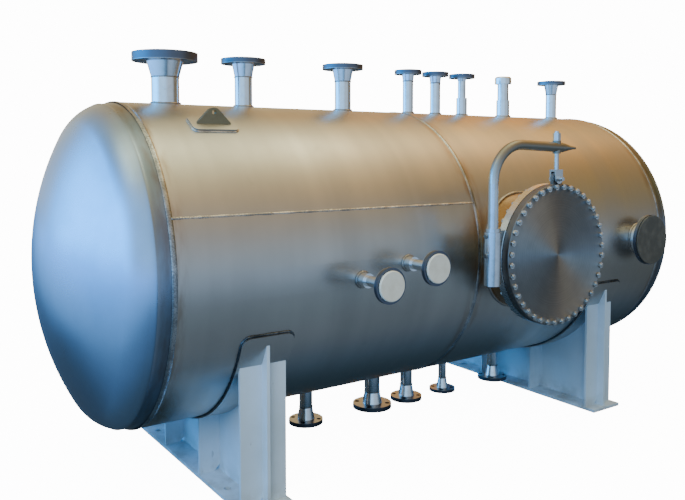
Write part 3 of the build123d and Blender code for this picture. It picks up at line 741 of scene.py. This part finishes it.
class TANK_OT_finishes(bpy.types.Operator):
    """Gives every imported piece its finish"""

    bl_idname = "tank.finishes"
    bl_label = "Finishes"

    def execute(self, context):
        colours = context.scene.tank_colours
        finishes = {
            "shell_steel": mill_plate(colours),
            "head_steel": ground_head(colours),
            "nozzle_steel": turned_steel("turned stainless", colours.turned, 0.14),
            "flange_steel": turned_steel("turned flange steel", colours.turned, 0.2,
                                         (3.33, 25, 3.33)),
            "cover_steel": face_turned(colours),
            "davit_steel": turned_steel("drawn stainless pipe", linear("d2d3d4"), 0.16,
                                        (16.7, 16.7, 83.3), marked=0.0),
            "lug_steel": turned_steel("flame-cut plate", linear("8f8468"), 0.45),
            "saddle_steel": painted_plate(colours),
            "cap_plastic": moulded("moulded polyethylene", colours.cap, linear("b9b49f"), 0.5),
            "cover_rubber": moulded("matt rubber sheet", colours.rubber, linear("68645a"), 0.7),
            "gasket_rubber": moulded("fibre gasket", linear("2b2b2a"), linear("3a3632"), 0.85),
        }
        for part in frame["record"]["subparts"]:
            dress(part["node"], finishes[part["material_slot"]])
        dress("shell_seam_welds", weld_metal("seam weld metal", linear("bcc0c4"), "8a8d90", 0.2))
        # The neck's golden-brown colour is a painted warm reflection
        dress("manway_neck", turned_steel("heat-tinted neck pipe", linear("b58d5e"), 0.2,
                                          (3.33, 25, 3.33)))
        # The arm's top is painted dark brown-grey, a painted dark reflection, and made rougher
        arm_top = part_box("davit_arm")[1].z
        dress("davit_arm", turned_steel("hot-bent stainless pipe", linear("d2d3d4"), 0.16,
                                        (16.7, 16.7, 83.3), marked=0.0,
                                        dull=(2, arm_top - 0.17, arm_top - 0.04, "8a8374")))
        # Each flange is painted dark blue-grey, a painted dark reflection, and made rougher
        for name, (_, thickness, _) in NOZZLES.items():
            if not thickness:
                continue
            low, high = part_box(name)
            axis, face, inward = {"top": (2, high.z, -1), "bottom": (2, low.z, 1)}.get(
                name.split("_")[0], (1, low.y, 1))
            back = face + inward * thickness
            dress(name, turned_steel("turned stainless with a forged rim", colours.turned, 0.14,
                                     dull=(axis, back + inward * 0.003, back - inward * 0.003,
                                           "4a5163")))
        return {"FINISHED"}


def head_rings(radius, depth, knuckle, straight, ridge, groove):
    """Rings of a dished head from its seam to its pole: distance past the seam, and radius."""
    # The crown's radius, and the angle where it meets the knuckle, from the depth of the dish
    dish = depth - straight
    crown = (dish ** 2 - knuckle ** 2 + (radius - knuckle) ** 2) / (2 * (dish - knuckle))
    meeting = asin((radius - knuckle) / (crown - knuckle))
    rings = [(0.0, radius - 0.0005), (0.008, radius - groove * 0.3)]
    rings += [(ridge * reach, radius - groove * sunk) for reach, sunk in RIM_PROFILE]
    start = acos((ridge * 1.25 - straight) / knuckle)
    for i in range(15):
        angle = start + (meeting - start) * i / 14
        rings.append((straight + knuckle * cos(angle), radius - knuckle + knuckle * sin(angle)))
    for i in range(1, 17):
        angle = meeting * (1 - i / 16)
        rings.append((depth - crown * (1 - cos(angle)), crown * sin(angle)))
    return rings


class TANK_OT_heads(bpy.types.Operator):
    """Forms the dished heads, each with its own knuckle and a rolled ridge on its rim"""

    bl_idname = "tank.heads"
    bl_label = "Dished heads"

    def execute(self, context):
        sizes = context.scene.tank_sizes
        metal = ground_head(context.scene.tank_colours)
        forms = (("left_head", LEFT_SEAM, -1, sizes.left_knuckle, 0.0, sizes.left_groove),
                 ("right_head", RIGHT_SEAM, 1, sizes.right_knuckle, sizes.right_straight,
                  sizes.right_groove))
        for node, seam, side, knuckle, straight, groove in forms:
            low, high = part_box(node)
            depth = seam - low.x if side < 0 else high.x - seam
            rings = head_rings(SHELL_R, depth, knuckle, straight, sizes.rim_ridge, groove)
            bpy.ops.object.select_all(action="DESELECT")
            bpy.ops.mesh.primitive_circle_add(vertices=180, radius=rings[0][1],
                                              location=(seam, 0, AXIS_Z), rotation=(0, pi / 2, 0))
            head = context.object
            settle(head)
            pick(head)
            bpy.ops.object.mode_set(mode="EDIT")
            bpy.ops.mesh.select_all(action="SELECT")
            for (reach, radius), (next_reach, next_radius) in zip(rings, rings[1:]):
                bpy.ops.mesh.extrude_region_move(
                    TRANSFORM_OT_translate={"value": (side * (next_reach - reach), 0, 0)})
                share = next_radius / radius
                bpy.ops.transform.resize(value=(1, share, share), center_override=(
                    seam + side * next_reach, 0, AXIS_Z))
            bpy.ops.mesh.select_all(action="SELECT")
            bpy.ops.mesh.remove_doubles(threshold=0.0001)
            bpy.ops.mesh.normals_make_consistent(inside=False)
            bpy.ops.object.mode_set(mode="OBJECT")
            modify(head, "SOLIDIFY", thickness=sizes.head_wall, offset=-1.0, use_even_offset=True)
            pick(head)
            bpy.ops.object.shade_smooth_by_angle(angle=radians(40))
            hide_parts(node)
            finish_piece(head, f"{node}_plate", VESSEL, metal)
        return {"FINISHED"}


class TANK_OT_shell_beads(bpy.types.Operator):
    """Adds the long seam's bead and the beads round the wear pads and doublers"""

    bl_idname = "tank.shell_beads"
    bl_label = "Shell beads"

    def execute(self, context):
        sizes = context.scene.tank_sizes
        metal = weld_metal("bead metal", linear("e4dcd0"))
        # The wear pads' beads, low on the shell over the saddles, are painted dark blue-grey:
        # painted shade
        pad_metal = weld_metal("pad bead metal", linear("6f767c"), "3a424a")
        angle = sizes.long_seam_angle
        # The bead is sunk, and a fifth of its width stands proud of the shell
        level = SHELL_R - sizes.seam_width * 0.3
        seam_y, seam_z = -level * cos(angle), AXIS_Z + level * sin(angle)
        ends = [Vector((LEFT_SEAM + 0.004, seam_y, seam_z)),
                Vector((MIDDLE_SEAM - 0.004, seam_y, seam_z))]
        bead("long_seam_bead", ends, sizes.seam_width, metal, sizes.ripple,
             closed=False)
        for side in ("left", "right"):
            low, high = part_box(f"{side}_saddle_wear_pad")
            top = atan2(high.z - AXIS_Z, high.y)
            outline = rounded_patch((low.x + high.x) / 2, (high.x - low.x) / 2, -pi / 2,
                                    top + pi / 2, PAD_CORNER, SHELL_R)
            bead(f"{side}_pad_bead", outline, sizes.pad_bead, pad_metal,
                 sizes.ripple)
        for side in ("front", "rear"):
            low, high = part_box(f"{side}_lifting_lug_doubler")
            middle = (low + high) / 2
            angle = atan2(middle.z - AXIS_Z, middle.y)
            half_angle = 0.5 * ((high.y - low.y) ** 2 + (high.z - low.z) ** 2) ** 0.5 / SHELL_R
            outline = rounded_patch(middle.x, (high.x - low.x) / 2, angle, half_angle * 0.95,
                                    DOUBLER_CORNER, SHELL_R)
            bead(f"{side}_doubler_bead", outline, sizes.pad_bead * 0.7, metal,
                 sizes.ripple)
        return {"FINISHED"}


def rounded_patch(centre_x, half_x, middle_angle, half_angle, corner, radius, step=0.01):
    """The outline of a rounded patch that lies on the shell. Angles are measured from +Y."""
    half_round = half_angle * radius
    flat = []
    for corner_x, corner_s, start in ((1, 1, 0), (-1, 1, 90), (-1, -1, 180), (1, -1, 270)):
        for i in range(7):
            turn = radians(start + i * 15)
            flat.append((corner_x * (half_x - corner) + corner * cos(turn),
                         corner_s * (half_round - corner) + corner * sin(turn)))
    outline = []
    for (x, s), (next_x, next_s) in zip(flat, flat[1:] + flat[:1]):
        pieces = max(1, ceil(abs(next_s - s) / step))
        for i in range(pieces):
            along = x + (next_x - x) * i / pieces
            angle = middle_angle + (s + (next_s - s) * i / pieces) / radius
            outline.append(Vector((centre_x + along, radius * cos(angle),
                                   AXIS_Z + radius * sin(angle))))
    return outline


class TANK_OT_nozzle_beads(bpy.types.Operator):
    """Adds the fillet beads round the nozzles and the manway neck"""

    bl_idname = "tank.nozzle_beads"
    bl_label = "Nozzle beads"

    def execute(self, context):
        sizes = context.scene.tank_sizes
        metal = weld_metal("fillet bead metal", linear("b8b0a6"))
        for name, (pipe, _, _) in NOZZLES.items():
            low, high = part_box(name)
            middle = (low + high) / 2
            direction = {"top": "up", "bottom": "down"}.get(name.split("_")[0], "front")
            curve = root_curve(middle.x, middle.z, pipe / 2 + BEAD_STAND_OFF,
                               SHELL_R + BEAD_STAND_OFF, direction)
            bead(name + "_bead", curve, sizes.fillet_width, metal, sizes.ripple)
        for name, (pipe, _, length) in NOZZLES.items():
            if not length:
                continue
            low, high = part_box(name)
            height = high.z - length if name.startswith("top") else low.z + length
            ring = [Vector(((low.x + high.x) / 2 + pipe / 2 * cos(radians(turn)),
                            pipe / 2 * sin(radians(turn)), height)) for turn in range(0, 360, 5)]
            bead(name + "_hub_bead", ring, sizes.fillet_width * 0.45, metal,
                 sizes.ripple)
        curve = root_curve(MANWAY_X, AXIS_Z, NECK_R + 2 * BEAD_STAND_OFF,
                           SHELL_R + BEAD_STAND_OFF, "front", 180)
        bead("manway_neck_bead", curve, sizes.fillet_width * 1.3, metal,
             sizes.ripple)
        return {"FINISHED"}


class TANK_OT_manway_bolting(bpy.types.Operator):
    """Adds the studs and nuts of the manway"""

    bl_idname = "tank.manway_bolting"
    bl_label = "Manway studs and nuts"

    def execute(self, context):
        sizes = context.scene.tank_sizes
        nut_steel = turned_steel("bright nut steel", linear("dcdcda"), 0.16, 2.5)
        stud_steel = turned_steel("rolled stud thread", linear("b9b7b2"), 0.28, 3.33)
        stud_back = flange_high.y + sizes.nut_height + STUD_PAST_NUT
        stud_front = cover_low.y - sizes.nut_height - STUD_PAST_NUT
        stud = threaded_stud(sizes.stud_diameter, stud_back - stud_front, THREAD_PITCH)
        nut = hex_nut(sizes.nut_flats, sizes.nut_height, sizes.stud_diameter + NUT_PLAY)
        radius = sizes.stud_circle / 2
        groups = (
            ("manway_stud", stud, (stud_back + stud_front) / 2, VESSEL, "flange_steel",
             stud_steel),
            ("manway_rear_nut", nut, flange_high.y + sizes.nut_height / 2, VESSEL,
             "flange_steel", nut_steel),
            ("manway_front_nut", nut, cover_low.y - sizes.nut_height / 2, DAVIT, "cover_steel",
             nut_steel),
        )
        for name, pattern, y, body, slot_name, metal in groups:
            places = on_circle(MANWAY_X, AXIS_Z, radius, sizes.stud_count, y)
            for number, matrix in enumerate(places, 1):
                turned = matrix @ Matrix.Rotation(radians(number * 37 % 60), 4, "Y")
                finish_piece(copy_to(pattern, turned), f"{name}_{number}", body, metal)
        bpy.data.objects.remove(stud)
        bpy.data.objects.remove(nut)
        return {"FINISHED"}


class TANK_OT_davit_hardware(bpy.types.Operator):
    """Adds the set screws of the davit's socket and collar"""

    bl_idname = "tank.davit_hardware"
    bl_label = "Davit hardware"

    def execute(self, context):
        metal = turned_steel("set screw steel", linear("8b8a87"), 0.25, 2.5)
        pipe_x = socket_low.x + SOCKET_R
        screw = hex_nut(SCREW_FLATS, SCREW_HEIGHT, 0)
        turn = Matrix.Rotation(pi / 2, 4, "Z")
        # Two screws in the socket, and one on the other side of the collar that turns above it
        for number, (rise, reach, body) in enumerate(SET_SCREWS, 1):
            spot = Matrix.Translation((pipe_x + reach, DAVIT_Y, socket_high.z + rise))
            finish_piece(copy_to(screw, spot @ turn), f"davit_set_screw_{number}", body,
                         metal)
        bpy.data.objects.remove(screw)
        return {"FINISHED"}


class TANK_PT_panel(bpy.types.Panel):
    """Lists the tank's pieces, sizes and colours"""

    bl_label = "Pressure Tank"
    bl_idname = "TANK_PT_panel"
    bl_space_type = "VIEW_3D"
    bl_region_type = "UI"
    bl_category = "Tank"

    def draw(self, context):
        for step in STEPS:
            self.layout.operator(step.bl_idname)
        for group in (context.scene.tank_sizes, context.scene.tank_colours):
            box = self.layout.box()
            for name in group.__annotations__:
                box.prop(group, name)


STEPS = (TANK_OT_stage, TANK_OT_finishes, TANK_OT_heads, TANK_OT_shell_beads, TANK_OT_nozzle_beads,
         TANK_OT_manway_bolting, TANK_OT_davit_hardware)
CLASSES = (TankSizes, TankColours, *STEPS, TANK_PT_panel)


def register():
    for item in CLASSES:
        bpy.utils.register_class(item)
    bpy.types.Scene.tank_sizes = bpy.props.PointerProperty(type=TankSizes)
    bpy.types.Scene.tank_colours = bpy.props.PointerProperty(type=TankColours)


def unregister():
    del bpy.types.Scene.tank_colours
    del bpy.types.Scene.tank_sizes
    for item in reversed(CLASSES):
        bpy.utils.unregister_class(item)


def main():
    register()
    bpy.ops.tank.stage()
    bpy.ops.tank.finishes()
    bpy.ops.tank.heads()
    bpy.ops.tank.shell_beads()
    bpy.ops.tank.nozzle_beads()
    bpy.ops.tank.manway_bolting()
    bpy.ops.tank.davit_hardware()


if __name__ == "__main__":
    main()
